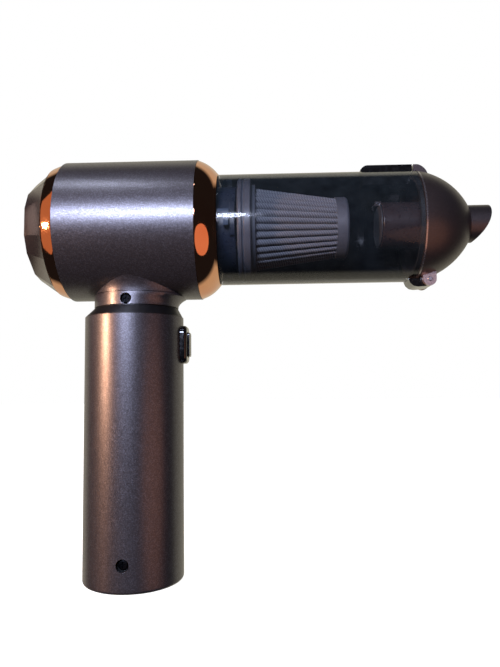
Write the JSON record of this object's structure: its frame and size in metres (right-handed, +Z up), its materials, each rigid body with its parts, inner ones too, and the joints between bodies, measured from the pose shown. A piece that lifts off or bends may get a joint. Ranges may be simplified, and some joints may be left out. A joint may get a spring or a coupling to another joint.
{
  "type": "cordless car vacuum and blower",
  "caption": "Pistol-shaped cordless vacuum and blower: tubular grip, turned motor body, clear dust cup with cone filter, tipping nose with a slant-cut nozzle.",
  "frame": {"origin": "centre of the grip's flat end face, which the part stands on", "axes": "+X along the head towards the nozzle, +Z up the grip, +Y to the left seen from behind the body"},
  "size_m": [0.2086, 0.0644, 0.1905],
  "materials": {
    "shell_paint": "gunmetal metallic paint on moulded ABS",
    "rose_plate": "rose-gold vacuum plating on moulded ABS, mirror bright",
    "cap_lacquer": "bronze-brown metallic lacquer on ABS",
    "nose_lacquer": "dark bronze satin lacquer on ABS",
    "foam": "open-cell filter foam",
    "seal_rubber": "moulded black rubber",
    "flap_silicone": "soft silicone",
    "filter_silicone": "translucent grey silicone",
    "black_abs": "moulded black ABS, fine texture",
    "ring_black": "satin black ABS",
    "smoke_duct": "satin dark grey ABS",
    "gloss_black": "polished black ABS",
    "button_black": "polished black ABS",
    "impeller_nylon": "glass-filled nylon",
    "zinc_steel": "drawn zinc-plated steel",
    "bell_plastic": "moulded phenolic",
    "bronze": "sintered bronze",
    "ferrite": "ferrite magnet",
    "carbon": "carbon brush",
    "ground_steel": "ground steel",
    "lamination_steel": "stacked silicon steel",
    "enamelled_copper": "enamelled copper wire",
    "copper": "bare copper",
    "screw_steel": "zinc-plated steel",
    "pin_steel": "polished steel",
    "spring_steel": "spring wire",
    "lead_pvc": "PVC insulation",
    "cell_wrap": "shrink-wrapped cell",
    "nickel_strip": "nickel strip",
    "board_green": "solder-masked board",
    "switch_black": "moulded switch",
    "socket_shell": "stamped steel shell",
    "light_lens": "frosted acrylic",
    "smoke_clear": "smoked clear polycarbonate",
    "filter_frame": "grey moulded ABS",
    "filter_cap": "dark moulded ABS",
    "filter_paper": "pleated non-woven filter"
  },
  "bodies": {
    "main_body": {"battery_cells": "cell_wrap", "bayonet_spigot": "black_abs", "body_shell": "shell_paint", "button_frame": "gloss_black", "cell_straps": "nickel_strip", "charge_light": "light_lens", "charge_socket": "socket_shell", "collar_screws": "screw_steel", "control_board": "board_green", "cup_seal": "seal_rubber", "diffuser": "black_abs", "exhaust_foam": "foam", "fan_cover": "black_abs", "front_bezel": "rose_plate", "handle_end_cover": "black_abs", "handle_frame": "black_abs", "handle_screw": "screw_steel", "handle_tube": "shell_paint", "motor_brushes": "carbon", "motor_bushes": "bronze", "motor_can": "zinc_steel", "motor_cradle": "black_abs", "motor_end_bell": "bell_plastic", "motor_leads": "lead_pvc", "motor_magnets": "ferrite", "motor_rings": "seal_rubber", "motor_screws": "screw_steel", "neck_clamp": "black_abs", "neck_collar": "shell_paint", "neck_ring": "ring_black", "neck_screw": "screw_steel", "power_switch": "switch_black", "rear_cap": "cap_lacquer", "rear_ring": "rose_plate"},
    "rotor": {"motor_shaft": "ground_steel", "armature_core": "lamination_steel", "armature_windings": "enamelled_copper", "commutator": "copper", "impeller": "impeller_nylon"},
    "cup": {"dust_cup": "smoke_clear", "filter_seal": "filter_silicone", "filter_base": "filter_frame", "filter_cage": "filter_frame", "filter_pleats": "filter_paper", "filter_end_cap": "filter_cap", "latch_housing": "gloss_black", "hinge_bracket": "gloss_black", "latch_spring": "spring_steel"},
    "nose": {"nose_dome": "nose_lacquer", "dome_seal": "seal_rubber", "inlet_duct": "smoke_duct", "nozzle": "nose_lacquer", "hinge_pin": "pin_steel", "flap_pin": "pin_steel"},
    "latch": {"latch_button": "gloss_black"},
    "flap": {"inlet_flap": "flap_silicone"},
    "button": {"power_button": "button_black"}
  },
  "joints": [
    {"name": "fan_spin", "type": "hinge", "parent": "main_body", "child": "rotor", "pos_m": [0, 0, 0.1583], "axis": [1, 0, 0], "continuous": true},
    {"name": "cup_twist", "type": "hinge", "parent": "main_body", "child": "cup", "pos_m": [0.04, 0, 0.1583], "axis": [1, 0, 0], "range_deg": [-40, 0]},
    {"name": "nose_tip", "type": "hinge", "parent": "cup", "child": "nose", "pos_m": [0.1352, 0, 0.1325], "axis": [0, 1, 0], "range_deg": [0, 100]},
    {"name": "latch_press", "type": "slide", "parent": "cup", "child": "latch", "axis": [0, 0, -1], "range_m": [0, 0.001], "stiffness_N_per_m": 900, "deforming": ["latch_spring"]},
    {"name": "flap_swing", "type": "hinge", "parent": "nose", "child": "flap", "pos_m": [0.1133, 0, 0.1687], "axis": [0, 1, 0], "range_deg": [0, 28], "stiffness_Nm_per_rad": 0.0002},
    {"name": "power_press", "type": "slide", "parent": "main_body", "child": "button", "axis": [-1, 0, 0], "range_m": [0, 0.001], "stiffness_N_per_m": 1200}
  ]
}
